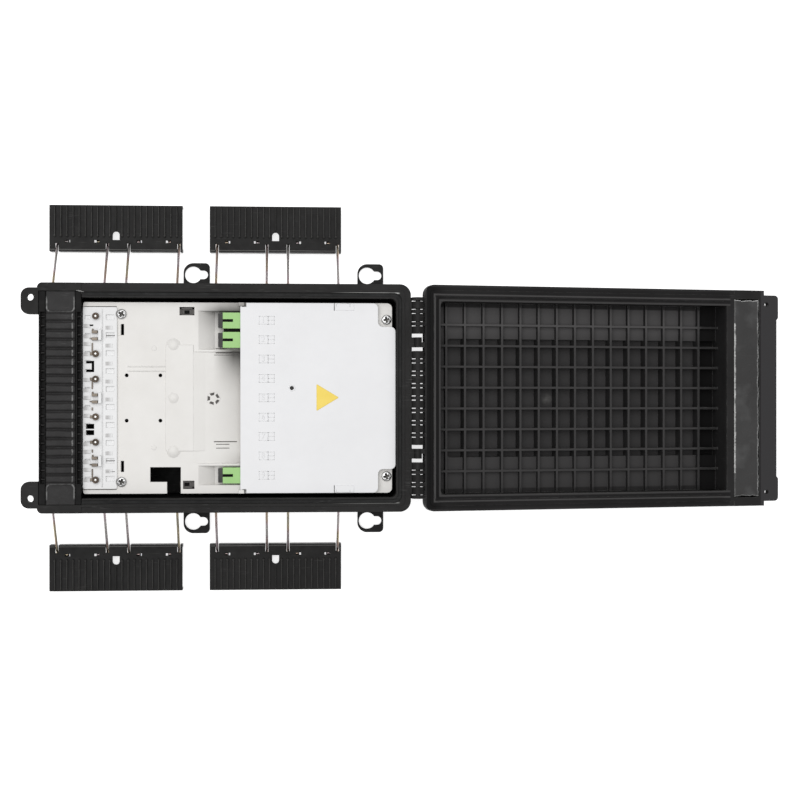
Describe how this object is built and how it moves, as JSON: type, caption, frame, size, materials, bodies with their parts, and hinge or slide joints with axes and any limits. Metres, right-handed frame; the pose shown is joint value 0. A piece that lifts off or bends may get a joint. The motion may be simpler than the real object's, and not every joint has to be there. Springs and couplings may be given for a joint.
{
  "type": "fibre splice closure",
  "caption": "Wall-mounted fibre splice closure: black hinged box with wire-bail latches, gel cable seal, splice tray with hinged cover and adapter bays.",
  "frame": {"origin": "middle of the base's flat back face", "axes": "+Z out of the base's mouth, +X towards the hinge and the open lid, +Y across the base"},
  "size_m": [0.6317, 0.3252, 0.0912],
  "materials": {
    "black_plastic": "fine moulded texture",
    "seal_rubber": "soft matt rubber",
    "sealing_gel": "soft ridged gel",
    "steel": "plain steel",
    "tray_plastic": "warm white moulding",
    "cover_plastic": "white moulding",
    "adapter_plastic": "light green moulding",
    "cap_plastic": "dark moulding",
    "dark_screw": "dark bronze",
    "plated_wire": "yellow zinc plating"
  },
  "bodies": {
    "base": {"base_shell": "black_plastic", "rim_seal": "seal_rubber", "base_gel": "sealing_gel", "outer_comb": "black_plastic", "inner_comb": "black_plastic", "hinge_pin": "steel", "splice_tray": "tray_plastic", "cable_strip": "tray_plastic", "strength_clamp_1": "steel", "strength_clamp_2": "steel", "strength_clamp_3": "steel", "clamp_screws": "dark_screw", "tray_screws": "steel", "adapter_1": "adapter_plastic", "adapter_2": "adapter_plastic", "adapter_9": "adapter_plastic", "dust_cap_1": "cap_plastic", "dust_cap_2": "cap_plastic", "dust_cap_9": "cap_plastic", "splice_holder_top": "tray_plastic", "splice_holder_bottom": "tray_plastic"},
    "lid": {"lid_shell": "black_plastic", "lid_gel": "sealing_gel"},
    "cover": {"tray_cover": "cover_plastic"},
    "bails_top_left": {"latch_bail_top_left_1": "plated_wire", "latch_bail_top_left_2": "plated_wire"},
    "lever_top_left": {"latch_lever_top_left": "black_plastic"},
    "bails_top_right": {"latch_bail_top_right_1": "plated_wire", "latch_bail_top_right_2": "plated_wire"},
    "lever_top_right": {"latch_lever_top_right": "black_plastic"},
    "bails_bottom_left": {"latch_bail_bottom_left_1": "plated_wire", "latch_bail_bottom_left_2": "plated_wire"},
    "lever_bottom_left": {"latch_lever_bottom_left": "black_plastic"},
    "bails_bottom_right": {"latch_bail_bottom_right_1": "plated_wire", "latch_bail_bottom_right_2": "plated_wire"},
    "lever_bottom_right": {"latch_lever_bottom_right": "black_plastic"}
  },
  "joints": [
    {"name": "lid_hinge", "type": "hinge", "parent": "base", "child": "lid", "pos_m": [0.1548, 0, 0.0862], "axis": [0, -1, 0], "range_deg": [0, 190.3]},
    {"name": "cover_hinge", "type": "hinge", "parent": "base", "child": "cover", "pos_m": [0.0126, 0, 0.0814], "axis": [0, 1, 0], "range_deg": [-110, 0]},
    {"name": "bail_hinge_top_left", "type": "hinge", "parent": "base", "child": "bails_top_left", "pos_m": [-0.0928, 0.0902, 0.03735], "axis": [1, 0, 0], "range_deg": [0, 118.97]},
    {"name": "lever_hinge_top_left", "type": "hinge", "parent": "bails_top_left", "child": "lever_top_left", "pos_m": [-0.0928, 0.1322, 0.0069], "axis": [-1, 0, 0], "range_deg": [0, 208.97]},
    {"name": "bail_hinge_top_right", "type": "hinge", "parent": "base", "child": "bails_top_right", "pos_m": [0.0413, 0.0902, 0.03735], "axis": [1, 0, 0], "range_deg": [0, 118.97]},
    {"name": "lever_hinge_top_right", "type": "hinge", "parent": "bails_top_right", "child": "lever_top_right", "pos_m": [0.0413, 0.1322, 0.0069], "axis": [-1, 0, 0], "range_deg": [0, 208.97]},
    {"name": "bail_hinge_bottom_left", "type": "hinge", "parent": "base", "child": "bails_bottom_left", "pos_m": [-0.0928, -0.0902, 0.03735], "axis": [-1, 0, 0], "range_deg": [0, 118.97]},
    {"name": "lever_hinge_bottom_left", "type": "hinge", "parent": "bails_bottom_left", "child": "lever_bottom_left", "pos_m": [-0.0928, -0.1322, 0.0069], "axis": [1, 0, 0], "range_deg": [0, 208.97]},
    {"name": "bail_hinge_bottom_right", "type": "hinge", "parent": "base", "child": "bails_bottom_right", "pos_m": [0.0413, -0.0902, 0.03735], "axis": [-1, 0, 0], "range_deg": [0, 118.97]},
    {"name": "lever_hinge_bottom_right", "type": "hinge", "parent": "bails_bottom_right", "child": "lever_bottom_right", "pos_m": [0.0413, -0.1322, 0.0069], "axis": [1, 0, 0], "range_deg": [0, 208.97]}
  ]
}
